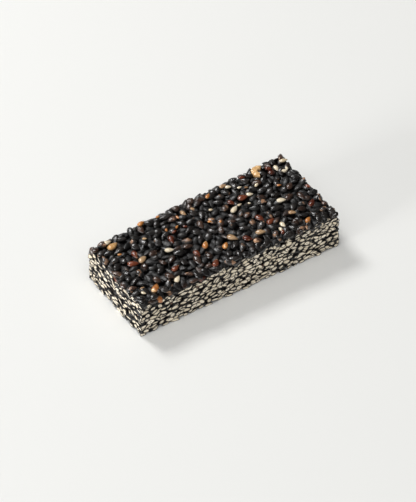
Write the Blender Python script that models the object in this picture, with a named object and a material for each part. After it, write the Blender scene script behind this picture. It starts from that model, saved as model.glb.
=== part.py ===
"""Black sesame bar: a hand-cut bar of sesame seeds held together by syrup, as one solid.

The seeds are dropped one by one into a tray, as they lie when such a bar is pressed and rolled.
The uppermost ones are joined to a core of syrup and seeds, and a knife then trims the four sides.
Metres, +Z up. The bar stands on Z = 0, its length runs along X, and its origin is under its middle.
"""

import math

import bmesh
import bpy
import numpy as np
from mathutils import Matrix, Vector

MM = 0.001

# The bar, as it was cut: a little wider and higher at its right end, and a little smaller at its top.
BAR_LENGTH = 64.0 * MM
BAR_WIDTH = 28.0 * MM
LEFT_END_WIDTH = 25.4 * MM
LEFT_END_SLANT = 1.3 * MM
RIGHT_END_SLANT = 0.75 * MM
HEIGHT_AT_LEFT = 12.4 * MM
HEIGHT_AT_RIGHT = 13.5 * MM
TOP_SHRINK = 0.018

# One roasted sesame seed: mean length, width and thickness, and how far each strays.
SEED_SIZE = np.array([3.30, 2.15, 1.30]) * MM
SEED_SPREAD = np.array([0.22, 0.14, 0.12]) * MM
SEED_POINT = 0.22
SEED_SIDES = 5
SEED_RINGS = 3

# How the seeds are dropped into the tray.
TRAY_MARGIN = 2.4 * MM
CELL = 0.15 * MM
PRESSED = 0.93
LOW_SPOTS = 60
TRIED_SPOTS = 6
TRIED_TURNS = 2
SLOPE_FOLLOWED = 0.6
SLOPE_STRAY = 0.10
PROUD_LIMIT = 0.35 * MM
FULL_AFTER = 250
FOOTPRINT = 0.6
LEVEL_STEP = 5

# The solid's syrup core, its rough cut sides and the seeds on it.
SHOWN_SEEDS = 340
SYRUP_BELOW_TOP = 0.90 * MM
SIDE_CELL = 2.2 * MM
SIDE_ROUGHNESS = 0.40 * MM
EDGE_ROUGHNESS = 1.6
SIDE_INSET = 0.10 * MM
KNIFE_REACH = 6.0 * MM
FLOOR_TRIM = 2.0 * MM

SEED_COLOUR = (0.022, 0.019, 0.018, 1.0)


def clear_scene():
    for obj in list(bpy.data.objects):
        bpy.data.objects.remove(obj, do_unlink=True)


def plan_corners():
    """The plan as the knife cuts it: front left, front right, back right and back left."""
    left, right = -BAR_LENGTH / 2, BAR_LENGTH / 2
    front, back = -BAR_WIDTH / 2, BAR_WIDTH / 2
    return [
        Vector((left + LEFT_END_SLANT, front)),
        Vector((right, front)),
        Vector((right - RIGHT_END_SLANT, back)),
        Vector((left, front + LEFT_END_WIDTH)),
    ]


def bar_height(x):
    share = x / BAR_LENGTH + 0.5
    return HEIGHT_AT_LEFT + (HEIGHT_AT_RIGHT - HEIGHT_AT_LEFT) * share


def seed_turns(slope_x, slope_y, yaw):
    """Rows of each seed's own axes, length, width and thickness, lying on a slope at a yaw."""
    flat = np.stack([-slope_x, -slope_y, np.ones_like(yaw)], axis=1)
    flat /= np.linalg.norm(flat, axis=1, keepdims=True)
    along = np.stack([np.cos(yaw), np.sin(yaw), np.zeros_like(yaw)], axis=1)
    along -= flat * (flat * along).sum(axis=1, keepdims=True)
    along /= np.linalg.norm(along, axis=1, keepdims=True)
    return np.stack([along, np.cross(flat, along), flat], axis=1)


def shell_of(turns, half, offset):
    """Under and upper side of an ellipsoid at each grid offset, and where it has any."""
    form = np.einsum("kai,a,kaj->kij", turns, 1 / (half * PRESSED) ** 2, turns)
    across, down = offset[None, :, None], offset[None, None, :]
    xx, yy, xy, xz, yz, zz = (
        form[:, i, j, None, None] for i, j in ((0, 0), (1, 1), (0, 1), (0, 2), (1, 2), (2, 2))
    )
    lean = xz * across + yz * down
    rest = xx * across**2 + 2 * xy * across * down + yy * down**2 - 1
    under_root = lean**2 - zz * rest
    there = under_root > 0
    root = np.sqrt(np.where(there, under_root, 0))
    return (-lean - root) / zz, (-lean + root) / zz, there


def drop_seeds():
    """Fills the tray and returns each seed as (centre, axes, half sizes), with how much of it shows on top."""
    rng = np.random.default_rng(7)
    size = np.array([BAR_LENGTH, BAR_WIDTH]) + 2 * TRAY_MARGIN
    cells = np.round(size / CELL).astype(int)
    x = (np.arange(cells[0]) + 0.5) * CELL - size[0] / 2
    y = (np.arange(cells[1]) + 0.5) * CELL - size[1] / 2
    height = np.zeros(cells)
    owner = np.full(cells, -1)

    reach = math.ceil(SEED_SIZE[0] * FOOTPRINT / CELL)
    steps = np.arange(-reach, reach + 1)
    probe = steps[reach // 2 : -(reach // 2)]
    slope_scale = (probe**2).sum() * len(probe) * CELL
    nearby = np.array([(0, 0), (1, 0), (-1, 0), (0, 1), (0, -1)]) * LEVEL_STEP
    seeds, refused = [], 0
    while refused < FULL_AFTER:
        half = (SEED_SIZE + SEED_SPREAD * rng.standard_normal(3)) / 2
        ix = rng.integers(reach, cells[0] - reach, LOW_SPOTS)
        iy = rng.integers(reach, cells[1] - reach, LOW_SPOTS)
        level = sum(height[ix + dx, iy + dy] for dx, dy in nearby) / len(nearby) - bar_height(x[ix])
        lowest = np.repeat(np.argsort(level, kind="stable")[:TRIED_SPOTS], TRIED_TURNS)
        ix, iy = ix[lowest], iy[lowest]
        around = height[ix[:, None, None] + steps[:, None], iy[:, None, None] + steps]
        middle = height[ix[:, None, None] + probe[:, None], iy[:, None, None] + probe]
        stray = SLOPE_STRAY * rng.standard_normal((2, len(ix)))
        slope_x = SLOPE_FOLLOWED * (middle * probe[:, None]).sum(axis=(1, 2)) / slope_scale + stray[0]
        slope_y = SLOPE_FOLLOWED * (middle * probe).sum(axis=(1, 2)) / slope_scale + stray[1]
        turns = seed_turns(slope_x, slope_y, rng.uniform(0, 2 * math.pi, len(ix)))
        under, upper, there = shell_of(turns, half, steps * CELL)
        rest_z = np.where(there, around - under, -1).max(axis=(1, 2))
        best = int(np.argmin(rest_z - bar_height(x[ix])))
        # One that stands proud of the top is rolled down to it, or left out where it stands too high.
        proud = rest_z[best] + np.where(there[best], upper[best], -1).max() - bar_height(x[ix[best]])
        if proud > PROUD_LIMIT:
            refused += 1
            continue
        refused = 0
        rest_z[best] -= max(proud, 0)
        patch = np.ix_(ix[best] + steps, iy[best] + steps)
        raised = np.where(there[best], upper[best] + rest_z[best], -1)
        owner[patch] = np.where(raised > height[patch], len(seeds), owner[patch])
        height[patch] = np.maximum(raised, height[patch])
        centre = Vector((x[ix[best]], y[iy[best]], rest_z[best]))
        seeds.append((centre, Matrix(turns[best].tolist()).transposed(), half))
    inside = inside_plan(x[:, None], y[None, :])
    seen = np.bincount(owner[inside & (owner >= 0)], minlength=len(seeds))
    return seeds, seen


def inside_plan(x, y):
    corners = plan_corners()
    inside = np.full(np.broadcast(x, y).shape, True)
    for start, end in zip(corners, corners[1:] + corners[:1]):
        inside &= (end.x - start.x) * (y - start.y) - (end.y - start.y) * (x - start.x) > 0
    return inside


def seed_mesh():
    """A seed of unit half sizes: round at one end and pointed at the other, its length along X."""
    bm = bmesh.new()
    bmesh.ops.create_uvsphere(bm, u_segments=SEED_SIDES, v_segments=SEED_RINGS, radius=1.0)
    bmesh.ops.rotate(bm, verts=bm.verts, matrix=Matrix.Rotation(math.pi / 2, 3, "Y"))
    for vert in bm.verts:
        narrower = 1 - SEED_POINT * vert.co.x
        vert.co.y *= narrower
        vert.co.z *= narrower
    mesh = bpy.data.meshes.new("seed")
    bm.to_mesh(mesh)
    bm.free()
    return mesh


def prism(name, inset, bottom, above_top):
    """A block with the bar's plan and leaning sides, set in by inset, from bottom to above_top over the bar."""
    corners = plan_corners()
    middle = sum(corners, Vector((0, 0))) / 4
    rings = []
    bm = bmesh.new()
    for at_top in (False, True):
        ring = []
        for corner in corners:
            z = bar_height(corner.x) + above_top if at_top else bottom
            away = corner - middle
            side = Vector((math.copysign(inset, away.x), math.copysign(inset, away.y)))
            place = middle + (away - side) * (1 - TOP_SHRINK * z / HEIGHT_AT_RIGHT)
            ring.append(bm.verts.new((*place, z)))
        rings.append(ring)
    bm.faces.new(reversed(rings[0]))
    bm.faces.new(rings[1])
    bmesh.ops.bridge_loops(bm, edges=bm.edges[:])
    bmesh.ops.recalc_face_normals(bm, faces=bm.faces)
    mesh = bpy.data.meshes.new(name)
    bm.to_mesh(mesh)
    bm.free()
    obj = bpy.data.objects.new(name, mesh)
    bpy.context.scene.collection.objects.link(obj)
    return obj


def roughen_sides(obj):
    """Cuts the block's sides into patches of about a seed's size and pushes them in by uneven amounts."""
    rng = np.random.default_rng(11)
    bm = bmesh.new()
    bm.from_mesh(obj.data)
    for axis, size, centre in ((0, BAR_LENGTH, 0.0), (1, BAR_WIDTH, 0.0), (2, HEIGHT_AT_LEFT, HEIGHT_AT_LEFT / 2)):
        count = round(size / SIDE_CELL)
        normal = Vector([float(axis == i) for i in range(3)])
        for k in range(1, count):
            at = normal * (centre + size * (k / count - 0.5))
            geom = [f for f in bm.faces if abs(f.normal.z) < 0.5]
            edges = {e for f in geom for e in f.edges}
            verts = {v for f in geom for v in f.verts}
            bmesh.ops.bisect_plane(bm, geom=[*geom, *edges, *verts], plane_co=at, plane_no=normal)
    bm.normal_update()
    for vert in sorted(bm.verts, key=lambda v: (round(v.co.x, 6), round(v.co.y, 6), round(v.co.z, 6))):
        walls = [f.normal for f in vert.link_faces if abs(f.normal.z) < 0.5]
        inwards = -sum(walls, Vector()).normalized()
        corner = EDGE_ROUGHNESS if len({tuple(round(c, 1) for c in n) for n in walls}) > 1 else 1.0
        vert.co += Vector((inwards.x, inwards.y, 0)) * SIDE_ROUGHNESS * corner * rng.random()
    bm.to_mesh(obj.data)
    bm.free()


def boolean(obj, operation, **operand):
    modifier = obj.modifiers.new(operation.lower(), "BOOLEAN")
    modifier.operation = operation
    for name, value in operand.items():
        setattr(modifier, name, value)
    bpy.context.view_layer.objects.active = obj
    bpy.ops.object.modifier_apply(modifier=modifier.name)


def drop_scraps(obj):
    """Deletes what the knife left loose, all but the largest piece."""
    bm = bmesh.new()
    bm.from_mesh(obj.data)
    unseen, pieces = set(bm.verts), []
    while unseen:
        piece, frontier = set(), [unseen.pop()]
        while frontier:
            vert = frontier.pop()
            piece.add(vert)
            near = {edge.other_vert(vert) for edge in vert.link_edges} & unseen
            unseen -= near
            frontier += near
        pieces.append(piece)
    pieces.sort(key=len)
    bmesh.ops.delete(bm, geom=[vert for piece in pieces[:-1] for vert in piece], context="VERTS")
    bm.to_mesh(obj.data)
    bm.free()


def seed_material():
    material = bpy.data.materials.new("black_sesame")
    material.use_nodes = True
    shader = material.node_tree.nodes["Principled BSDF"]
    shader.inputs["Base Color"].default_value = SEED_COLOUR
    shader.inputs["Roughness"].default_value = 0.35
    shader.inputs["Metallic"].default_value = 0.0
    return material


def build():
    clear_scene()
    seeds, seen = drop_seeds()
    bar = prism("sesame_bar", SIDE_INSET, -FLOOR_TRIM, -SYRUP_BELOW_TOP)
    roughen_sides(bar)

    shared = seed_mesh()
    toppings = bpy.data.collections.new("seeds")
    bpy.context.scene.collection.children.link(toppings)
    for index in np.argsort(-seen, kind="stable")[:SHOWN_SEEDS]:
        centre, turn, half = seeds[index]
        seed = bpy.data.objects.new(f"seed_{index}", shared)
        seed.matrix_world = Matrix.LocRotScale(centre, turn, Vector(half))
        toppings.objects.link(seed)
    boolean(bar, "UNION", operand_type="COLLECTION", collection=toppings)
    for seed in list(toppings.objects):
        bpy.data.objects.remove(seed, do_unlink=True)
    bpy.data.collections.remove(toppings)

    knife = prism("knife", 0.0, 0.0, KNIFE_REACH)
    boolean(bar, "INTERSECT", object=knife)
    bpy.data.objects.remove(knife, do_unlink=True)
    drop_scraps(bar)
    bar.data.materials.clear()
    bar.data.materials.append(seed_material())


build()
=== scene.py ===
import math

import bpy
import numpy as np
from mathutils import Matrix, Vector


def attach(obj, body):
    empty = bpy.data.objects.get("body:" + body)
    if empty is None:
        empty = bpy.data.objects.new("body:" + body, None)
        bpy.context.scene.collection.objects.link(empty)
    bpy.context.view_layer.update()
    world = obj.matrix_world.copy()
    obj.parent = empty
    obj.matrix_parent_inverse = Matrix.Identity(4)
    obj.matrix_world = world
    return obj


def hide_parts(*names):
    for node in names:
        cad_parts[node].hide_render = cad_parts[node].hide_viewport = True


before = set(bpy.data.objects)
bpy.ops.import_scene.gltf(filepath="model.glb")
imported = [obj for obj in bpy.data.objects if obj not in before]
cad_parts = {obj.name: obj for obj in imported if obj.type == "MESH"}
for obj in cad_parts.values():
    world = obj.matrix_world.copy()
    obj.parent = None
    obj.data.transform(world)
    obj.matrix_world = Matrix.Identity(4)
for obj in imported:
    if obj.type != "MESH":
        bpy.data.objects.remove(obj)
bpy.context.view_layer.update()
print("frame loaded")

mm = 0.001

# The bar as the knife left it, in mm: wider and higher at its right end, a little smaller at its top.
bar = {
    "length": 64.0,
    "width": 28.0,
    "leftEndWidth": 25.4,
    "leftEndSlant": 1.3,    # how far in the end's front corner lies
    "rightEndSlant": 0.75,  # how far in the end's back corner lies
    "heightAtLeft": 12.4,
    "heightAtRight": 13.5,
    "topShrink": 0.018,
}


def planCorners(inset=0.0):
    # front left, front right, back right, back left
    left, right = -bar["length"] / 2, bar["length"] / 2
    front, back = -bar["width"] / 2, bar["width"] / 2
    corners = np.array([
        (left + bar["leftEndSlant"], front),
        (right, front),
        (right - bar["rightEndSlant"], back),
        (left, front + bar["leftEndWidth"]),
    ])
    middle = corners.mean(axis=0)
    return (corners - inset * np.sign(corners - middle)) * mm


def barHeight(x):
    share = x / (bar["length"] * mm) + 0.5
    return (bar["heightAtLeft"] + (bar["heightAtRight"] - bar["heightAtLeft"]) * share) * mm


def cornersAt(height, inset=0.0):
    # the sides lean in a little towards the top
    corners = planCorners(inset)
    middle = planCorners().mean(axis=0)
    return middle + (corners - middle) * (1 - bar["topShrink"] * height / (bar["heightAtRight"] * mm))


def sidePlanes():
    # a point and the outward direction of each cut side
    rise = 10 * mm
    points = np.column_stack([cornersAt(0.0), np.zeros(4)])
    along = np.roll(points, -1, axis=0) - points
    up = np.column_stack([cornersAt(rise), np.full(4, rise)]) - points
    out = np.cross(along, up)
    return points, out / np.linalg.norm(out, axis=1, keepdims=True)


# The seeds, dropped one by one into a tray until it is full, and pressed level. Sizes are in mm.
dropping = {
    "draw": 7,
    "seedSize": (3.30, 2.15, 1.30),  # length, width, thickness
    "seedSpread": (0.22, 0.14, 0.12),
    "trayMargin": 2.4,
    "cell": 0.15,          # of the grid that keeps how high the seeds lie
    "pressed": 0.93,       # share of a seed's size that keeps the others off
    "lowSpots": 60,        # places looked at for each seed
    "triedSpots": 6,       # the lowest of them, which it is tried in
    "triedTurns": 2,
    "slopeFollowed": 0.6,
    "slopeStray": 0.10,
    "proudLimit": 0.35,    # above the bar's top; higher, and there is no room for it
    "fullAfter": 250,      # seeds in a row without room
    "footprint": 0.6,      # how far the cells under a seed reach, by its length
    "levelStep": 5,        # cells from a place to the others that its level is taken from
}
# Those below are shorter, vary more and lie closer, and none comes near the top.
packing = {
    **dropping,
    "draw": 11,
    "seedSize": (3.1, 2.05, 1.35),
    "seedSpread": (0.35, 0.22, 0.16),
    "pressed": 0.81,
    "slopeStray": 0.16,
    "proudLimit": -0.9,
}


def seedTurns(slopeX, slopeY, yaw):
    # each seed's length, width and thickness directions, lying on a slope
    flat = np.stack([-slopeX, -slopeY, np.ones_like(yaw)], axis=1)
    flat /= np.linalg.norm(flat, axis=1, keepdims=True)
    along = np.stack([np.cos(yaw), np.sin(yaw), np.zeros_like(yaw)], axis=1)
    along -= flat * (flat * along).sum(axis=1, keepdims=True)
    along /= np.linalg.norm(along, axis=1, keepdims=True)
    return np.stack([along, np.cross(flat, along), flat], axis=1)


def shellOf(turns, half, offset):
    # underside and upper side of a seed at each point of the grid
    form = np.einsum("kai,a,kaj->kij", turns, 1 / half**2, turns)
    across, down = offset[None, :, None], offset[None, None, :]
    xx, yy, xy, xz, yz, zz = (
        form[:, i, j, None, None] for i, j in ((0, 0), (1, 1), (0, 1), (0, 2), (1, 2), (2, 2))
    )
    lean = xz * across + yz * down
    rest = xx * across**2 + 2 * xy * across * down + yy * down**2 - 1
    underRoot = lean**2 - zz * rest
    there = underRoot > 0
    root = np.sqrt(np.where(there, underRoot, 0))
    return (-lean - root) / zz, (-lean + root) / zz, there


def dropSeeds(d):
    rng = np.random.default_rng(d["draw"])
    cell = d["cell"] * mm
    meanSize, spread = np.array(d["seedSize"]) * mm, np.array(d["seedSpread"]) * mm
    traySize = np.array([bar["length"], bar["width"]]) * mm + 2 * d["trayMargin"] * mm
    cells = np.round(traySize / cell).astype(int)
    x = (np.arange(cells[0]) + 0.5) * cell - traySize[0] / 2
    y = (np.arange(cells[1]) + 0.5) * cell - traySize[1] / 2
    height = np.zeros(cells)
    owner = np.full(cells, -1)
    reach = math.ceil(meanSize[0] * d["footprint"] / cell)
    steps = np.arange(-reach, reach + 1)
    probe = steps[reach // 2 : -(reach // 2)]
    slopeScale = (probe**2).sum() * len(probe) * cell
    nearby = np.array([(0, 0), (1, 0), (-1, 0), (0, 1), (0, -1)]) * d["levelStep"]
    centres, axes, halves, refused = [], [], [], 0
    while refused < d["fullAfter"]:
        half = (meanSize + spread * rng.standard_normal(3)) / 2
        ix = rng.integers(reach, cells[0] - reach, d["lowSpots"])
        iy = rng.integers(reach, cells[1] - reach, d["lowSpots"])
        level = sum(height[ix + dx, iy + dy] for dx, dy in nearby) / len(nearby) - barHeight(x[ix])
        lowest = np.repeat(np.argsort(level, kind="stable")[: d["triedSpots"]], d["triedTurns"])
        ix, iy = ix[lowest], iy[lowest]
        around = height[ix[:, None, None] + steps[:, None], iy[:, None, None] + steps]
        middle = height[ix[:, None, None] + probe[:, None], iy[:, None, None] + probe]
        stray = d["slopeStray"] * rng.standard_normal((2, len(ix)))
        follow = d["slopeFollowed"]
        slopeX = follow * (middle * probe[:, None]).sum(axis=(1, 2)) / slopeScale + stray[0]
        slopeY = follow * (middle * probe).sum(axis=(1, 2)) / slopeScale + stray[1]
        turns = seedTurns(slopeX, slopeY, rng.uniform(0, 2 * math.pi, len(ix)))
        under, upper, there = shellOf(turns, half * d["pressed"], steps * cell)
        restZ = np.where(there, around - under, -1).max(axis=(1, 2))
        best = int(np.argmin(restZ - barHeight(x[ix])))
        proud = restZ[best] + np.where(there[best], upper[best], -1).max() - barHeight(x[ix[best]])
        if proud > d["proudLimit"] * mm:
            refused += 1
            continue
        refused = 0
        restZ[best] -= max(proud, 0)
        patch = np.ix_(ix[best] + steps, iy[best] + steps)
        raised = np.where(there[best], upper[best] + restZ[best], -1)
        owner[patch] = np.where(raised > height[patch], len(centres), owner[patch])
        height[patch] = np.maximum(raised, height[patch])
        centres.append((x[ix[best]], y[iy[best]], restZ[best]))
        axes.append(turns[best])
        halves.append(half)
    seen = np.bincount(owner[owner >= 0], minlength=len(centres))
    return np.array(centres), np.array(axes), np.array(halves), seen


onTop = dropSeeds(dropping)
below = dropSeeds(packing)
seenOnTop = onTop[3] > 0
centres, axes, halves = (np.concatenate([top[seenOnTop], low]) for top, low in zip(onTop[:3], below))
layers = {"top": int(seenOnTop.sum()), "below": len(below[0])}
seenCells = np.concatenate([onTop[3][seenOnTop], np.zeros(layers["below"], int)])
print(layers["top"], "seeds on top and", layers["below"], "below them")


# What colour each seed is, and which ones lie where the eye falls on them.
showing = {
    "draw": 21,
    "kinds": {
        "top": {"black": 0.825, "brown": 0.17, "red": 0.005, "orange": 0, "golden": 0, "tan": 0, "cream": 0},
        "below": {
            "black": 0.71, "brown": 0.22, "red": 0.04, "orange": 0.01, "golden": 0.005, "tan": 0.01,
            "cream": 0.005,
        },
    },
    "seenOnTop": 40,        # grid cells that show of a seed whose place a standout may take
    "standoutBuild": (1.0, 0.60, 0.42),  # length, width and thickness by its length
    "standoutTone": (0.2, 0.5),          # the darkest, and how much lighter at most
    "standoutProud": 0.12,  # mm above the bar's top
    "clearRound": 2.4,      # mm, how near to a standout the other seeds lie lower
    "lowered": 0.45,        # mm, and how far their middles stay below its own
    "crumbProud": 0.0,
    # mm down from the top, in from the sides and up from the floor, where seeds are made
    "topDepth": 2.2,
    "sideDepth": 0.6,
    "floorDepth": 0.5,
    "shadeDepth": 1.1,       # mm, how far in painted shade and syrup make all dark
    "brokenOut": 0.03,      # share of the cut seeds that fell out of the side
    "leftWhole": 0.03,      # and of those that turned out of the knife's way
    "topRow": 0.8,          # mm, how far down the knife pushes seeds in and cuts none in two
    "pushedIn": 0.75,       # how far out the middle of such a seed may lie, by its reach
    "overhang": 0.25,       # mm, and how far past the knife it then stands
    "sliver": 0.7,          # the same for a seed lower down: further out, and it leaves nothing
}

# Each is mm to the right of the middle, mm behind it, degrees that it is turned by and mm long.
standouts = {
    "orange": [
        (-24.0, -10.5, 45, 3.7), (-15.5, 11.5, 15, 2.4), (-5.0, -4.5, 50, 3.0), (-0.5, -7.5, 45, 2.8),
        (23.0, -11.5, 30, 2.6), (5.0, 10.5, 35, 2.2),
    ],
    "golden": [(-26.0, 8.5, 15, 3.8)],
    "red": [
        (-24.5, 0.0, -25, 3.4), (-22.5, 2.5, -95, 3.0), (-11.5, 2.0, -100, 3.1), (-8.5, -6.0, -85, 2.9),
        (-6.0, -11.5, 45, 3.2), (6.0, -8.5, -45, 3.2), (9.0, 5.0, -65, 2.5), (13.0, 5.0, -5, 3.6),
        (14.5, -6.5, 20, 3.0), (16.5, 11.5, -30, 2.2), (24.5, 10.5, -45, 2.4), (27.5, -6.5, 35, 3.2),
        (12.5, -4.0, -70, 3.0), (-16.0, -7.5, 20, 3.0),
    ],
    "brown": [
        (-29.0, -7.5, -20, 2.8), (-18.5, -9.0, -60, 3.2), (-18.0, 0.5, 20, 3.4), (-16.5, 9.5, -90, 3.3),
        (-9.5, -8.0, -90, 3.7), (-9.0, -2.5, -20, 3.1), (-2.0, 2.5, -100, 3.4), (2.5, 10.5, -30, 2.9),
        (26.0, 2.0, 35, 3.3), (26.5, -3.0, -80, 3.2), (5.5, -1.0, -20, 2.6),
    ],
    "tan": [
        (-21.5, 0.0, 25, 3.2), (-4.0, 8.5, -70, 2.3),
        (2.5, -6.0, -50, 3.5), (10.0, -8.5, -20, 3.1), (10.5, 11.5, 5, 2.4), (21.0, -7.0, -30, 2.4),
    ],
    "cream": [
        (-17.5, -11.0, 40, 2.7), (-14.0, -1.0, -25, 2.6), (8.5, 2.5, 30, 3.0), (16.5, -9.5, -80, 2.4),
        (21.0, -1.5, -20, 2.8), (30.2, 11.0, -15, 2.7),
    ],
}
crumbs = {
    "orange": [
        (-26.0, 4.5, -20, 1.3), (-11.0, 5.5, -105, 1.4), (-10.5, 11.0, 5, 1.4), (-8.0, 5.0, 35, 1.3),
        (-6.0, 8.0, -90, 1.4), (0.5, 2.0, -25, 1.4), (3.0, 0.5, 50, 1.4), (23.5, 3.5, -25, 1.4),
    ],
    "red": [(-9.5, 4.0, 15, 1.8), (-6.0, 4.0, -45, 1.5), (15.0, -11.5, 50, 2.0), (30.0, -1.0, -60, 1.8)],
    "tan": [(-27.0, -9.0, 15, 1.6), (-17.5, 6.0, -30, 1.4), (-1.0, 8.5, -45, 1.4), (15.5, 7.5, -30, 1.1)],
    "cream": [
        (-27.5, -10.5, -60, 1.5), (-26.5, 10.2, -5, 2.6), (3.0, 5.5, -25, 1.4), (10.5, 3.0, 5, 1.4),
        (13.0, 2.0, -30, 1.0), (14.0, 8.5, -5, 1.4), (11.5, 10.5, -25, 2.0), (18.5, 7.0, 35, 1.8),
        (15.0, -10.5, -105, 1.8), (15.0, 5.0, -25, 2.2), (26.5, 9.5, -95, 2.4),
    ],
}

rng = np.random.default_rng(showing["draw"])
kindNames = list(showing["kinds"]["top"])
kind = np.concatenate([
    rng.choice(len(kindNames), number, p=list(showing["kinds"][layer].values()))
    for layer, number in layers.items()
])


def lyingFlat(right, behind, yaw, length, proud):
    # centre, axes and half sizes of a seed that lies flat on top
    c, s = math.cos(math.radians(yaw)), math.sin(math.radians(yaw))
    half = np.array(showing["standoutBuild"]) * length * mm / 2
    place = (right * mm, behind * mm, barHeight(right * mm) + proud * mm - half[2])
    return place, ((c, s, 0), (-s, c, 0), (0, 0, 1)), half


def layStandouts():
    # each takes the place of the nearest seed on top, and the others round it lie a little lower
    free = seenCells >= showing["seenOnTop"]
    fixed = np.zeros(len(centres), bool)
    for name, spots in standouts.items():
        for spot in spots:
            place, turn, half = lyingFlat(*spot, showing["standoutProud"])
            away = np.hypot(centres[:, 0] - place[0], centres[:, 1] - place[1])
            nearest = int(np.argmin(np.where(free, away, np.inf)))
            free[nearest], fixed[nearest] = False, True
            centres[nearest], axes[nearest], halves[nearest] = place, turn, half
            kind[nearest] = kindNames.index(name)
            beside = (away < showing["clearRound"] * mm) & ~fixed
            centres[beside, 2] = np.minimum(centres[beside, 2], place[2] - showing["lowered"] * mm)
    return set(np.flatnonzero(fixed))


standoutIndices = layStandouts()
laid = [(name, *lyingFlat(*spot, showing["crumbProud"])) for name, spots in crumbs.items() for spot in spots]
centres = np.concatenate([centres, [place for name, place, turn, half in laid]])
axes = np.concatenate([axes, [turn for name, place, turn, half in laid]])
halves = np.concatenate([halves, [half for name, place, turn, half in laid]])
kind = np.concatenate([kind, [kindNames.index(name) for name, place, turn, half in laid]])
count = len(centres)
tone = rng.random(count)
chosenOnes = [index for index in range(count) if index in standoutIndices or index >= count - len(laid)]
darkest, span = showing["standoutTone"]
tone[chosenOnes] = darkest + span * tone[chosenOnes]
print(len(standoutIndices), "standouts and", len(laid), "crumbs laid on top")


# Which seeds the knife cuts, and which show whole.
planePoints, planeOut = sidePlanes()


def reachAlong(direction):
    return np.sqrt(((axes @ direction) ** 2 * halves**2).sum(axis=1))


distance = np.stack([(centres - p) @ n for p, n in zip(planePoints, planeOut)], axis=1)
reach = np.stack([reachAlong(n) for n in planeOut], axis=1)
crossing = abs(distance) < reach
reachUp = reachAlong(np.array([0.0, 0.0, 1.0]))
topRow = centres[:, 2] + reachUp > barHeight(centres[:, 0]) - showing["topRow"] * mm
furthest = np.where(topRow, showing["pushedIn"], showing["sliver"])
outside = (distance >= furthest[:, None] * reach).any(axis=1)
luck = rng.random(count)
fellOut = crossing.any(axis=1) & (luck < showing["brokenOut"]) & ~topRow
turnedIn = (crossing.sum(axis=1) == 1) & (luck > 1 - showing["leftWhole"]) & (distance.max(axis=1) < 0)
turnedIn |= crossing.any(axis=1) & topRow & ~outside
for index, side in zip(*np.nonzero(turnedIn[:, None] & crossing)):
    past = showing["overhang"] * mm if topRow[index] else 0
    centres[index] -= planeOut[side] * (distance[index, side] + reach[index, side] - past)
cut = crossing.any(axis=1) & ~outside & ~fellOut & ~turnedIn
nearSide = (distance + reach > -showing["sideDepth"] * mm).any(axis=1)
nearFloor = centres[:, 2] - reachUp < showing["floorDepth"] * mm
nearTop = centres[:, 2] + reachUp > barHeight(centres[:, 0]) - showing["topDepth"] * mm
whole = ~crossing.any(axis=1) & ~outside | turnedIn
whole &= nearSide | nearFloor | nearTop | turnedIn | (np.arange(count) < layers["top"])
print(int(cut.sum()), "seeds cut,", int(whole.sum()), "left whole")


# One seed, modelled in three builds, then copied and dented.
seedShape = {
    "segments": 10,
    "rings": 6,
    "width": 0.95,
    "rimBand": (0.2, 0.5),   # what belongs to its edge: height by distance from the seed's axis
    "rim": (1, 1.04, 0.45),  # the edge is a little wider and much flatter
    "ringReach": 0.01,
    "point": 0.36,           # how much narrower towards the tip
    "waist": 0.22,           # and towards both ends
    # plumpness and bend of each build
    "builds": {"plumpSeed": (0.92, 0.0), "flatSeed": (0.72, 0.10), "bentSeed": (0.82, -0.10)},
    "draw": 45,
    "dents": 4,              # shallow hollows in each seed
    "deepest": 0.20,
    "dentSpread": 0.45,      # cosine from a dent's middle to its edge
    "lumps": 0.025,
}


def selectOnly(obj):
    bpy.ops.object.select_all(action="DESELECT")
    obj.select_set(True)
    bpy.context.view_layer.objects.active = obj


def selectVertices(obj, chosen):
    # in object mode; only the chosen vertices, with the faces they make
    mesh = obj.data
    mesh.polygons.foreach_set("select", np.zeros(len(mesh.polygons), bool))
    mesh.edges.foreach_set("select", np.zeros(len(mesh.edges), bool))
    mesh.vertices.foreach_set("select", chosen)


def verticesOf(mesh):
    places = np.empty(len(mesh.vertices) * 3)
    mesh.vertices.foreach_get("co", places)
    return places.reshape(-1, 3)


def modelSeed(name, plumpness, bend):
    shape = seedShape
    bpy.ops.object.select_all(action="DESELECT")
    bpy.ops.mesh.primitive_uv_sphere_add(
        segments=shape["segments"], ring_count=shape["rings"], radius=1.0, rotation=(0, math.pi / 2, 0))
    seed = bpy.context.object
    seed.name = name
    bpy.ops.object.transform_apply(location=True, rotation=True, scale=True)
    places = verticesOf(seed.data)
    steepness = abs(places[:, 2]) / np.maximum(np.hypot(places[:, 1], places[:, 2]), 1e-6)
    least, most = shape["rimBand"]
    selectVertices(seed, (steepness > least) & (steepness < most))
    bpy.ops.object.mode_set(mode="EDIT")
    bpy.ops.transform.resize(value=shape["rim"])
    bpy.ops.object.mode_set(mode="OBJECT")
    for ring in range(1, shape["rings"]):
        x = math.cos(math.pi * ring / shape["rings"])
        selectVertices(seed, abs(verticesOf(seed.data)[:, 0] - x) < shape["ringReach"])
        bpy.ops.object.mode_set(mode="EDIT")
        narrow = 1 - shape["point"] * x - shape["waist"] * x * x
        bpy.ops.transform.resize(value=(1, narrow * shape["width"], narrow * plumpness))
        bpy.ops.transform.translate(value=(0, bend * (1 - x * x), 0))
        bpy.ops.object.mode_set(mode="OBJECT")
    return seed


seedShapes = [modelSeed(name, plumpness, bend) for name, (plumpness, bend) in seedShape["builds"].items()]
print("seed shapes modelled")

denting = np.random.default_rng(seedShape["draw"])
dentWays = denting.standard_normal((count, seedShape["dents"], 3))
dentWays /= np.linalg.norm(dentWays, axis=2, keepdims=True)
dentDepths = denting.uniform(0, seedShape["deepest"], (count, seedShape["dents"]))


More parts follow.
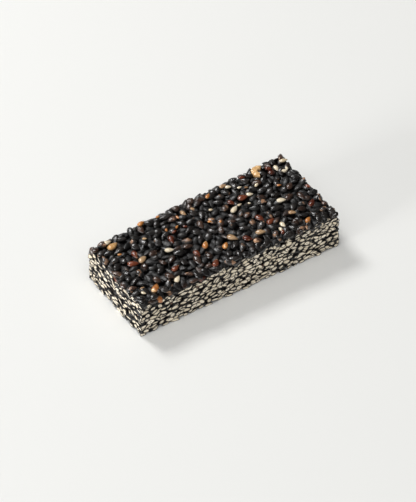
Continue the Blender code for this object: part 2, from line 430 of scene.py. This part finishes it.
def dented(unit, index):
    # a roasted seed shrinks unevenly
    facing = unit @ dentWays[index].T / np.linalg.norm(unit, axis=1, keepdims=True)
    edge = seedShape["dentSpread"]
    hollow = np.clip((facing - edge) / (1 - edge), 0, 1) * dentDepths[index]
    lumps = seedShape["lumps"] * denting.standard_normal((len(unit), 1))
    return unit * (1 - hollow.sum(axis=1, keepdims=True) + lumps)


def setPaintedShade(mesh, least=0.0):
    # how deep a vertex lies behind the surface, from least to 1, where painted shade and syrup make all dark
    places = verticesOf(mesh)
    inSide = np.min([(p - places) @ n for p, n in zip(planePoints, planeOut)], axis=0)
    depth = np.minimum(np.minimum(inSide, places[:, 2]), barHeight(places[:, 0]) - places[:, 2])
    shaded = np.clip(depth / (showing["shadeDepth"] * mm), least, 1)
    values = mesh.attributes.get("shaded") or mesh.attributes.new("shaded", "FLOAT", "POINT")
    values.data.foreach_set("value", shaded.astype(np.float32))


def joinedSeeds(name, chosen, swell=(1, 1, 1)):
    # copies of the seed shapes as one mesh, each at its place, with its own tone
    indices = np.flatnonzero(chosen)
    places, faces, slots, owners, alongs, offset = [], [], [], [], [], 0
    for index in indices:
        shape = seedShapes[index % len(seedShapes)].data
        unit = verticesOf(shape)
        places.append((dented(unit, index) * halves[index] * np.array(swell)) @ axes[index] + centres[index])
        faces += [[v + offset for v in p.vertices] for p in shape.polygons]
        slots += [kind[index]] * len(shape.polygons)
        owners.append(np.full(len(unit), index))
        alongs.append(unit[:, 0])
        offset += len(unit)
    owners = np.concatenate(owners)
    mesh = bpy.data.meshes.new(name)
    mesh.from_pydata(np.concatenate(places), [], faces)
    mesh.polygons.foreach_set("use_smooth", np.ones(len(mesh.polygons), bool))
    for label, values in (("tone", tone[owners]), ("along", np.concatenate(alongs)), ("seedNumber", owners)):
        mesh.attributes.new(label, "FLOAT", "POINT").data.foreach_set("value", values.astype(np.float32))
    setPaintedShade(mesh)
    piece = bpy.data.objects.new(name, mesh)
    bpy.context.scene.collection.objects.link(piece)
    return piece, slots


def setFloorContact(piece):
    # the tray flattened what touched it
    places = verticesOf(piece.data)
    places[:, 2] = np.maximum(places[:, 2], 0)
    piece.data.vertices.foreach_set("co", places.ravel())
    piece.data.update()


wholePieces = {}
for number, kindName in enumerate(kindNames):
    piece, slots = joinedSeeds(kindName + "_seeds", whole & (kind == number))
    setFloorContact(piece)
    wholePieces[kindName] = piece
    print(kindName, "seeds joined:", len(piece.data.polygons), "faces")


# The seeds that the knife went through.
cutting = {
    "draw": 33,
    "swell": (0.99, 1.0, 1.12),  # length, width and thickness against a whole seed's
    "flatWithin": 0.002,     # mm from the knife's plane
    "facing": 0.999,         # cosine to the knife's direction
    "hullRim": 0.175,        # mm, the black hull round each cut kernel
    "cutHullShade": 1.0,          # hull's least depth in painted shade and syrup; at 1 it is all dark
    "smallestRimmed": 0.30,  # mm2, a smaller cut shows hull alone
    "kernelEdge": 0.35,      # how far inwards the rim's inner edge counts, 0 outside and 1 in the middle
    "dome": 0.03,            # mm
    "deepest": 0.28,         # mm, how far in a cut seed may sit
    "proudest": 0.16,        # mm, and how far out
    "tilt": 10.0,            # degrees, how far it may lean out of the cut
}


def cutSides(piece):
    selectOnly(piece)
    for point, out in zip(planePoints, planeOut):
        bpy.ops.object.mode_set(mode="EDIT")
        bpy.ops.mesh.select_all(action="SELECT")
        bpy.ops.mesh.bisect(
            plane_co=tuple(point), plane_no=tuple(out), use_fill=False, clear_outer=True, threshold=1e-7)
        bpy.ops.mesh.select_all(action="SELECT")
        bpy.ops.mesh.fill_holes(sides=0)
        bpy.ops.mesh.select_all(action="SELECT")
        bpy.ops.mesh.normals_make_consistent(inside=False)
        bpy.ops.object.mode_set(mode="OBJECT")


def capFaces(piece):
    # the flat faces that the knife left
    mesh = piece.data
    middles, ways = np.empty(len(mesh.polygons) * 3), np.empty(len(mesh.polygons) * 3)
    areas = np.empty(len(mesh.polygons))
    mesh.polygons.foreach_get("center", middles)
    mesh.polygons.foreach_get("normal", ways)
    mesh.polygons.foreach_get("area", areas)
    middles, ways = middles.reshape(-1, 3), ways.reshape(-1, 3)
    flat = np.zeros(len(areas), bool)
    for point, out in zip(planePoints, planeOut):
        near = abs((middles - point) @ out) < cutting["flatWithin"] * mm
        flat |= near & (ways @ out > cutting["facing"])
    return flat, areas


def islandOf(mesh):
    # for each vertex, the first vertex of the seed that it belongs to
    ends = np.empty(len(mesh.edges) * 2, int)
    mesh.edges.foreach_get("vertices", ends)
    start, end = ends.reshape(-1, 2).T
    first, settled = np.arange(len(mesh.vertices)), False
    while not settled:
        before = first.copy()
        lowest = np.minimum(first[start], first[end])
        np.minimum.at(first, start, lowest)
        np.minimum.at(first, end, lowest)
        settled = (first == before).all()
    return first


def evenOut(mesh, label):
    # cutting guesses the values of new vertices, so each seed takes its first vertex's value all over
    values = np.empty(len(mesh.vertices), np.float32)
    mesh.attributes[label].data.foreach_get("value", values)
    values = values[islandOf(mesh)]
    mesh.attributes[label].data.foreach_set("value", values)
    return values


def rimCaps(piece, flat, areas):
    c = cutting
    mesh = piece.data
    selectOnly(piece)
    rimmed = flat & (areas > c["smallestRimmed"] * mm * mm)
    selectVertices(piece, np.zeros(len(mesh.vertices), bool))
    mesh.polygons.foreach_set("select", rimmed)
    mesh.polygons.foreach_set("use_smooth", ~flat)
    before = len(mesh.vertices)
    bpy.ops.object.mode_set(mode="EDIT")
    bpy.ops.mesh.select_mode(type="FACE")
    bpy.ops.mesh.inset(
        thickness=c["hullRim"] * mm, depth=0, use_individual=True, use_even_offset=False,
        use_interpolate=False)
    piece.active_material_index = len(kindNames)
    bpy.ops.object.material_slot_assign()
    bpy.ops.object.mode_set(mode="OBJECT")
    inner = len(mesh.vertices)
    bpy.ops.object.mode_set(mode="EDIT")
    bpy.ops.mesh.poke(offset=c["dome"] * mm)
    bpy.ops.mesh.faces_shade_smooth()
    bpy.ops.mesh.select_mode(type="VERT")
    bpy.ops.object.mode_set(mode="OBJECT")
    inward = np.zeros(len(mesh.vertices))
    inward[before:inner] = c["kernelEdge"]
    inward[inner:] = 1.0
    mesh.attributes.new("inward", "FLOAT", "POINT").data.foreach_set("value", inward)
    evenOut(mesh, "tone")
    # the hulls of the cut seeds are painted all dark: painted shade and syrup over the black hull
    setPaintedShade(mesh, c["cutHullShade"])
    print(int(rimmed.sum()), "cut kernels show of", int(flat.sum()), "cuts")


def unsettleCuts(piece):
    # no cut seed stays quite flush: each sits a little deeper or prouder, and leans a little
    c = cutting
    rng = np.random.default_rng(c["draw"])
    mesh = piece.data
    places = verticesOf(mesh)
    owners = np.rint(evenOut(mesh, "seedNumber")).astype(int)
    side = np.argmax(distance + reach, axis=1)
    depth = rng.uniform(-c["proudest"], c["deepest"], count) * mm
    lean = np.radians(rng.uniform(-c["tilt"], c["tilt"], (count, 3)))
    ids, first = np.unique(owners, return_inverse=True)
    middles = np.stack([np.bincount(first, places[:, i]) for i in range(3)], axis=1)
    middles /= np.bincount(first)[:, None]
    local = places - middles[first]
    local += np.cross(lean[owners], local)
    places = middles[first] + local - planeOut[side[owners]] * depth[owners][:, None]
    mesh.vertices.foreach_set("co", places.ravel())
    mesh.update()


# The bent crumbs on top, bits of pale seed: mm and degrees, each spun from a small square.
bentCrumbs = {
    "bent_crumb": {
        "radius": 1.35, "width": 1.45, "thickness": 1.3, "bend": 190, "place": (21.9, 10.7), "yaw": 240,
        "stretch": 1.2, "kind": "golden", "tone": 0.65, "steps": 6,
    },
    "half_ring": {
        "radius": 0.85, "width": 0.65, "thickness": 0.8, "bend": 170, "place": (28.0, 8.0), "yaw": 10,
        "stretch": 1.0, "kind": "cream", "tone": 0.8, "steps": 5,
    },
}
crumbFinish = {
    "mergeWithin": 0.001,  # mm
    "rounding": 0.2,       # by its thickness
    "segments": 2,
    "roughness": 0.07,     # mm
    "draw": 3,
}


def modelBentCrumb(name, look):
    f = crumbFinish
    bpy.ops.object.select_all(action="DESELECT")
    bpy.ops.mesh.primitive_plane_add(size=1.0, rotation=(math.pi / 2, 0, 0))
    crumb = bpy.context.object
    crumb.name = name
    crumb.scale = (look["width"] * mm, look["thickness"] * mm, 1)
    crumb.location = (look["radius"] * mm, 0, 0)
    bpy.ops.object.transform_apply(location=True, rotation=True, scale=True)
    bpy.ops.object.mode_set(mode="EDIT")
    bpy.ops.mesh.select_all(action="SELECT")
    bpy.ops.mesh.spin(steps=look["steps"], angle=math.radians(look["bend"]), center=(0, 0, 0), axis=(0, 0, 1))
    bpy.ops.mesh.select_all(action="SELECT")
    bpy.ops.mesh.remove_doubles(threshold=f["mergeWithin"] * mm)
    bpy.ops.mesh.fill_holes(sides=4)
    bpy.ops.mesh.select_all(action="SELECT")
    bpy.ops.mesh.normals_make_consistent(inside=False)
    rounding = f["rounding"] * look["thickness"] * mm
    bpy.ops.mesh.bevel(offset=rounding, segments=f["segments"], affect="EDGES", clamp_overlap=True)
    bpy.ops.mesh.select_all(action="SELECT")
    bpy.ops.transform.vertex_random(offset=f["roughness"] * mm, uniform=1.0, normal=0.0, seed=f["draw"])
    bpy.ops.object.mode_set(mode="OBJECT")
    x, y = (value * mm for value in look["place"])
    crumb.scale = (1, look["stretch"], 1)
    crumb.rotation_euler = (0, 0, math.radians(look["yaw"]))
    crumb.location = (x, y, barHeight(x) + showing["standoutProud"] * mm - look["thickness"] * mm / 2)
    bpy.ops.object.transform_apply(location=True, rotation=True, scale=True)
    bpy.ops.object.shade_smooth()
    # the crumbs lie on top, with no painted shade
    for label, value in (("tone", look["tone"]), ("along", 0.0), ("shaded", 0.0)):
        values = np.full(len(crumb.data.vertices), value, np.float32)
        crumb.data.attributes.new(label, "FLOAT", "POINT").data.foreach_set("value", values)
    return crumb


# The syrup that holds the seeds, behind those that show, in mm; its near-black is partly painted shade of the
# deep gaps.
syrup = {
    "inset": 0.60,
    "belowTop": 2.2,
    "aboveFloor": 0.5,
    "cuts": 28,
    "roughness": 0.22,
    "unevenness": {"uniform": 0.6, "normal": 0.4, "seed": 5},
    # dark syrup, darkened further as painted shade of the gaps
    "dark": (0.003, 0.002, 0.0015),
    "light": (0.018, 0.009, 0.005),
    "shades": (0.4, 0.75),       # of the clots, where it is darkest and lightest
    "clots": (900.0, 4.0, 0.6),  # scale, detail and roughness of a noise
    "bump": 0.8,
    "bumpDepth": 0.15,
    "dullness": 0.5,
    "specular": 0.3,
}


def modelSyrup():
    s = syrup
    bpy.ops.object.select_all(action="DESELECT")
    bpy.ops.mesh.primitive_cube_add(size=2.0)
    core = bpy.context.object
    core.name = "syrup_core"
    places = verticesOf(core.data)
    signs = np.array([(-1, -1), (1, -1), (1, 1), (-1, 1)])
    for index, place in enumerate(places):
        corner = int(np.argmin(abs(signs - place[:2]).sum(axis=1)))
        x = planCorners()[corner, 0]
        z = barHeight(x) - s["belowTop"] * mm if place[2] > 0 else s["aboveFloor"] * mm
        places[index] = (*cornersAt(z, s["inset"])[corner], z)
    core.data.vertices.foreach_set("co", places.ravel())
    core.data.update()
    bpy.ops.object.mode_set(mode="EDIT")
    bpy.ops.mesh.select_all(action="SELECT")
    bpy.ops.mesh.subdivide(number_cuts=s["cuts"])
    bpy.ops.transform.vertex_random(offset=s["roughness"] * mm, **s["unevenness"])
    bpy.ops.object.mode_set(mode="OBJECT")
    bpy.ops.object.shade_smooth()
    return core


# Materials.
def newMaterial(name):
    material = bpy.data.materials.new(name)
    material.use_nodes = True
    nodes, links = material.node_tree.nodes, material.node_tree.links
    return material, nodes, links, nodes["Principled BSDF"]


def placeNode(nodes, kindOf, x, y, **values):
    node = nodes.new(kindOf)
    node.location = (x, y)
    for label, value in values.items():
        if label in node.inputs:
            node.inputs[label].default_value = value
        else:
            setattr(node, label, value)
    return node


def feed(links, socket, given):
    # a socket takes the output of another node or a plain value
    if isinstance(given, bpy.types.NodeSocket):
        links.new(given, socket)
    else:
        socket.default_value = given


def placeMath(nodes, links, x, y, operation, *given, **values):
    node = placeNode(nodes, "ShaderNodeMath", x, y, operation=operation, **values)
    for number, value in enumerate(given):
        feed(links, node.inputs[number], value)
    return node.outputs[0]


def placeMix(nodes, links, x, y, share, first, second, **values):
    # other sockets have the names of the two colours, so these go by number
    node = placeNode(nodes, "ShaderNodeMix", x, y, data_type="RGBA", **values)
    for number, given in ((0, share), (6, first), (7, second)):
        feed(links, node.inputs[number], given)
    return node.outputs[2]


def placeRange(nodes, links, x, y, given, fromRange, toRange=(0.0, 1.0)):
    ends = zip(("From Min", "From Max", "To Min", "To Max"), (*fromRange, *toRange))
    node = placeNode(nodes, "ShaderNodeMapRange", x, y, **dict(ends))
    links.new(given, node.inputs["Value"])
    return node.outputs["Result"]


def placeNoise(nodes, links, x, y, pattern):
    # a pattern is scale, detail and roughness
    where = placeNode(nodes, "ShaderNodeTexCoord", x - 250, y)
    scale, detail, roughness = pattern
    noise = placeNode(nodes, "ShaderNodeTexNoise", x, y, Scale=scale, Detail=detail, Roughness=roughness)
    links.new(where.outputs["Object"], noise.inputs["Vector"])
    return noise.outputs["Fac"]


def placeReading(nodes, x, y, label):
    return placeNode(nodes, "ShaderNodeAttribute", x, y, attribute_name=label).outputs["Fac"]


def bumpUp(nodes, links, x, y, shader, height, strength, depth):
    bump = placeNode(nodes, "ShaderNodeBump", x, y, Strength=strength, Distance=depth * mm)
    links.new(height, bump.inputs["Height"])
    links.new(bump.outputs["Normal"], shader.inputs["Normal"])


# Patterns are scale, detail and roughness of a noise.
skin = {
    "mottle": (1300.0, 3.0, 0.6),
    "mottleSpan": (0.35, 0.7),    # of the noise that makes the patches
    "patches": (-0.35, 0.35),     # how much darker and lighter
    "wear": (620.0, 2.0, 0.5),
    "tipsOnly": 4.0,              # the higher, the nearer to its tips a seed is worn
    "tipWear": 0.08,
    "shabbyTone": (0.84, 0.92),   # the lightest of a kind are worn more
    "shabbyWear": (0.0, 0.15),
    "wornEdge": (0.70, 0.78),
    "wrinkle": (2100.0, 4.0, 0.65),
    "glossSpan": (0.3, 0.7),      # of the same noise, for the roughness
    "roughness": (0.13, 0.30),
    "syrupAndShade": (0.2, 0.75),           # depth where painted shade and syrup start to darken the skin, and where they end
    # painted shade with dark syrup: the colour at the deepest
    "syrupAndShadeColour": (0.0015, 0.001, 0.0008, 1),
    "gapRoughness": 0.4,          # added at the deepest
}


def seedSkinAndShadeGroup():
    # mottled colour, pale worn places and fine wrinkles of a sesame hull, and painted shade with dark syrup
    # between the seeds
    s = skin
    group = bpy.data.node_groups.new("seedSkinAndShade", "ShaderNodeTree")
    for way, kindOf, labels in (
        ("INPUT", "NodeSocketFloat", ("Tone", "Along", "Worn Share", "Shaded")),
        ("INPUT", "NodeSocketColor", ("Dark", "Light", "Worn")),
        ("OUTPUT", "NodeSocketColor", ("Color",)),
        ("OUTPUT", "NodeSocketFloat", ("Roughness", "Height")),
    ):
        for label in labels:
            group.interface.new_socket(label, in_out=way, socket_type=kindOf)
    nodes, links = group.nodes, group.links
    given = placeNode(nodes, "NodeGroupInput", -1100, 0).outputs
    result = placeNode(nodes, "NodeGroupOutput", 700, 0)
    mottle = placeNoise(nodes, links, -850, -250, s["mottle"])
    wear = placeNoise(nodes, links, -850, -500, s["wear"])
    wrinkle = placeNoise(nodes, links, -850, -750, s["wrinkle"])
    # lighter or darker by seed and in patches
    patch = placeRange(nodes, links, -600, -200, mottle, s["mottleSpan"], s["patches"])
    shade = placeMath(nodes, links, -400, 0, "ADD", given["Tone"], patch, use_clamp=True)
    base = placeMix(nodes, links, -150, 100, shade, given["Dark"], given["Light"])
    # worn through to the pale layer on some seeds, mostly at the tips
    fromMiddle = placeMath(nodes, links, -750, -420, "ABSOLUTE", given["Along"])
    tips = placeMath(nodes, links, -600, -450, "POWER", fromMiddle, s["tipsOnly"])
    worn = placeMath(nodes, links, -400, -450, "MULTIPLY_ADD", tips, s["tipWear"], wear)
    worn = placeMath(nodes, links, -250, -450, "ADD", worn, given["Worn Share"])
    shabby = placeRange(nodes, links, -400, -650, given["Tone"], s["shabbyTone"], s["shabbyWear"])
    worn = placeMath(nodes, links, -180, -550, "ADD", worn, shabby)
    mask = placeRange(nodes, links, -50, -450, worn, s["wornEdge"])
    colour = placeMix(nodes, links, 150, 0, mask, base, given["Worn"])
    rough = placeRange(nodes, links, 150, -300, mottle, s["glossSpan"], s["roughness"])
    # painted shade and dark syrup between the seeds: the deeper, the darker and rougher
    syrupAndShade = placeRange(nodes, links, 150, -550, given["Shaded"], s["syrupAndShade"])
    colour = placeMix(nodes, links, 400, 0, syrupAndShade, colour, s["syrupAndShadeColour"])
    rough = placeMath(nodes, links, 400, -300, "MULTIPLY_ADD", syrupAndShade, s["gapRoughness"], rough)
    for label, output in (("Color", colour), ("Roughness", rough), ("Height", wrinkle)):
        links.new(output, result.inputs[label])
    return group


seedSkinAndShade = seedSkinAndShadeGroup()

hulls = {
    "black": {
        "dark": (0.008, 0.007, 0.0065), "light": (0.033, 0.028, 0.025),
        "worn": (0.34, 0.19, 0.11), "share": 0.0,
    },
    "brown": {
        "dark": (0.025, 0.013, 0.009), "light": (0.080, 0.044, 0.030),
        "worn": (0.46, 0.26, 0.15), "share": 0.03,
    },
    "red": {
        "dark": (0.060, 0.011, 0.005), "light": (0.22, 0.055, 0.021),
        "worn": (0.56, 0.30, 0.17), "share": 0.06,
    },
    "orange": {
        "dark": (0.34, 0.11, 0.025), "light": (0.66, 0.28, 0.07),
        "worn": (0.80, 0.52, 0.26), "share": 0.08,
    },
    "golden": {
        "dark": (0.50, 0.25, 0.075), "light": (0.84, 0.55, 0.27),
        "worn": (0.88, 0.70, 0.44), "share": 0.05,
    },
    "tan": {
        "dark": (0.25, 0.135, 0.065), "light": (0.62, 0.42, 0.23),
        "worn": (0.72, 0.56, 0.36), "share": 0.06,
    },
    "cream": {
        "dark": (0.60, 0.48, 0.31), "light": (0.82, 0.73, 0.56),
        "worn": (0.86, 0.80, 0.68), "share": 0.04,
    },
}
gloss = {
    "bump": 0.8,
    "wrinkle": 0.11,  # mm
    "specular": 1.0,
}


def hullMaterial(name, look):
    material, nodes, links, shader = newMaterial(name)
    hull = placeNode(nodes, "ShaderNodeGroup", -400, 100, node_tree=seedSkinAndShade)
    for label in ("dark", "light", "worn"):
        hull.inputs[label.capitalize()].default_value = (*look[label], 1)
    hull.inputs["Worn Share"].default_value = look["share"]
    # the depth below the surface, which drives the painted shade between the seeds
    for label, y in (("tone", 100), ("along", -100), ("shaded", -300)):
        links.new(placeReading(nodes, -650, y, label), hull.inputs[label.capitalize()])
    links.new(hull.outputs["Color"], shader.inputs["Base Color"])
    links.new(hull.outputs["Roughness"], shader.inputs["Roughness"])
    bumpUp(nodes, links, -200, -150, shader, hull.outputs["Height"], gloss["bump"], gloss["wrinkle"])
    shader.inputs["Specular IOR Level"].default_value = gloss["specular"]
    return material


kernel = {
    "edge": (0.36, 0.21, 0.10),
    "flesh": (0.95, 0.85, 0.67),
    "heart": (0.98, 0.91, 0.77),
    "dulled": (0.80, 0.76, 0.68),
    # the slit's dark brown is painted shade in the hollow crack
    "slitShade": (0.26, 0.17, 0.09),
    "rings": (0.48, 0.62, 0.85),    # where edge, flesh and heart are, inwards
    "slitPlace": (0.93, 1.08),
    "slitSeeds": 0.72,              # tone above which a cut seed shows its slit
    "grain": (3200.0, 4.0, 0.65),
    "waver": 0.35,                  # how far the grain moves the rings
    "bump": 0.6,
    "bumpDepth": 0.05,              # mm
    "roughness": 0.5,
}


def kernelMaterial():
    # cream flesh, tanned next to the hull, some with a slit between the two halves, painted dark as the shade
    # in the crack
    k = kernel
    material, nodes, links, shader = newMaterial("cut_kernel")
    inward = placeReading(nodes, -1100, 100, "inward")
    toneOf = placeReading(nodes, -1100, -100, "tone")
    grain = placeNoise(nodes, links, -900, -300, k["grain"])
    ring = placeMath(nodes, links, -700, 100, "MULTIPLY_ADD", grain, k["waver"], inward)
    ramp = placeNode(nodes, "ShaderNodeValToRGB", -500, 100)
    stops = ramp.color_ramp.elements
    stops[0].position, stops[1].position = k["rings"][:2]
    stops.new(k["rings"][2])
    for stop, label in zip(stops, ("edge", "flesh", "heart")):
        stop.color = (*k[label], 1)
    links.new(ring, ramp.inputs["Fac"])
    slitPlace = placeRange(nodes, links, -500, -150, ring, k["slitPlace"])
    slitSeeds = placeMath(nodes, links, -500, -400, "GREATER_THAN", toneOf, k["slitSeeds"])
    slitShadeMask = placeMath(nodes, links, -300, -250, "MULTIPLY", slitPlace, slitSeeds)
    colour = placeMix(nodes, links, -150, 100, slitShadeMask, ramp.outputs["Color"], (*k["slitShade"], 1))
    # some are duller than others
    dullness = placeRange(nodes, links, -300, -500, toneOf, (0.0, 1.0), (1.0, 0.0))
    colour = placeMix(nodes, links, 100, 100, dullness, colour, (*k["dulled"], 1), blend_type="MULTIPLY")
    links.new(colour, shader.inputs["Base Color"])
    bumpUp(nodes, links, -150, -200, shader, grain, k["bump"], k["bumpDepth"])
    shader.inputs["Roughness"].default_value = k["roughness"]
    return material


def syrupMaterial():
    # dark syrup seen deep in the gaps, its near-black partly painted shade
    s = syrup
    material, nodes, links, shader = newMaterial("syrup_and_shade")
    clots = placeNoise(nodes, links, -700, 0, s["clots"])
    ramp = placeNode(nodes, "ShaderNodeValToRGB", -450, 100)
    for stop, position, label in zip(ramp.color_ramp.elements, s["shades"], ("dark", "light")):
        stop.position = position
        stop.color = (*s[label], 1)
    links.new(clots, ramp.inputs["Fac"])
    links.new(ramp.outputs["Color"], shader.inputs["Base Color"])
    bumpUp(nodes, links, -250, -200, shader, clots, s["bump"], s["bumpDepth"])
    shader.inputs["Roughness"].default_value = s["dullness"]
    shader.inputs["Specular IOR Level"].default_value = s["specular"]
    return material


hullMaterials = {name: hullMaterial(name + "_hull", look) for name, look in hulls.items()}
for kindName, piece in wholePieces.items():
    piece.data.materials.append(hullMaterials[kindName])

cutSeeds, hullSlots = joinedSeeds("cut_seeds", cut, cutting["swell"])
for kindName in kindNames:
    cutSeeds.data.materials.append(hullMaterials[kindName])
cutSeeds.data.materials.append(kernelMaterial())
cutSeeds.data.polygons.foreach_set("material_index", hullSlots)
cutSides(cutSeeds)
flatFaces, faceAreas = capFaces(cutSeeds)
unsettleCuts(cutSeeds)
rimCaps(cutSeeds, flatFaces, faceAreas)
setFloorContact(cutSeeds)
print("cut seeds:", len(cutSeeds.data.polygons), "faces")

crumbPieces = []
for name, look in bentCrumbs.items():
    crumb = modelBentCrumb(name, look)
    crumb.data.materials.append(hullMaterials[look["kind"]])
    crumbPieces.append(crumb)

syrupCore = modelSyrup()
syrupCore.data.materials.append(syrupMaterial())

for shape in seedShapes:
    bpy.data.objects.remove(shape, do_unlink=True)

for piece in (*wholePieces.values(), cutSeeds, *crumbPieces, syrupCore):
    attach(piece, "root")
    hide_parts("sesame_bar")
print("pieces ride on the frame")


# Floor, light and camera.
studio = {
    "floorSize": 6.0,
    "floorColour": (0.80, 0.80, 0.777),
    "floorRoughness": 0.6,
    "floorSpecular": 0.2,
    "skyColour": (1.0, 1.0, 1.0),
    "skyStrength": 0.04,
    "litPoint": (0, 0, 0.005),
    # degrees round the bar, 0 in front and -90 to its left, and up; m away and wide; watts;
    # and whether it shows in gloss
    "lights": {
        "back_light": (-172.0, 45.0, 0.9, 0.90, 0.8, True),
        "glint_light": (-165.0, 50.0, 0.9, 0.24, 4.4, True),
        "window_light": (-85.0, 9.0, 1.5, 0.45, 16.0, True),
        "sky_panel": (-32.0, 66.0, 1.2, 1.40, 11.3, False),
    },
}
photo = {
    "width": 416,     # px
    "focal": 2200.0,  # px
    "sensor": 36.0,   # mm
    "azimuth": -31.63,
    "elevation": 46.89,
    "distance": 0.599,
    "target": (0.00028, 0.00262, 0.0006),
}


def directionOf(azimuth, elevation):
    a, e = math.radians(azimuth), math.radians(elevation)
    return Vector((math.sin(a) * math.cos(e), -math.cos(a) * math.cos(e), math.sin(e)))


def aimedAt(target, direction, distance):
    # place and turn of something that looks at the target from a direction
    return Vector(target) + direction * distance, direction.to_track_quat("Z", "Y").to_euler()


def setStudio():
    s = studio
    bpy.ops.object.select_all(action="DESELECT")
    bpy.ops.mesh.primitive_plane_add(size=s["floorSize"], location=(0, 0, 0))
    floor = bpy.context.object
    floor.name = "floor"
    material, nodes, links, shader = newMaterial("pale_floor")
    shader.inputs["Base Color"].default_value = (*s["floorColour"], 1)
    shader.inputs["Roughness"].default_value = s["floorRoughness"]
    shader.inputs["Specular IOR Level"].default_value = s["floorSpecular"]
    floor.data.materials.append(material)
    world = bpy.data.worlds.new("studio")
    world.use_nodes = True
    background = world.node_tree.nodes["Background"]
    background.inputs["Color"].default_value = (*s["skyColour"], 1)
    background.inputs["Strength"].default_value = s["skyStrength"]
    bpy.context.scene.world = world
    for name, (azimuth, elevation, away, size, watts, inGloss) in s["lights"].items():
        place, turn = aimedAt(s["litPoint"], directionOf(azimuth, elevation), away)
        bpy.ops.object.light_add(type="AREA", location=place, rotation=turn)
        light = bpy.context.object
        light.name = name
        light.data.energy = watts
        light.data.size = size
        light.visible_glossy = inGloss


def setCamera():
    p = photo
    place, turn = aimedAt(p["target"], directionOf(p["azimuth"], p["elevation"]), p["distance"])
    bpy.ops.object.camera_add(location=place, rotation=turn)
    camera = bpy.context.object
    camera.name = "photo_camera"
    camera.data.sensor_fit = "HORIZONTAL"
    camera.data.sensor_width = p["sensor"]
    camera.data.lens = p["sensor"] * p["focal"] / p["width"]
    camera.data.clip_start = 0.01
    bpy.context.scene.camera = camera


setStudio()
setCamera()
bpy.context.scene.view_settings.view_transform = "Standard"
print("studio set")
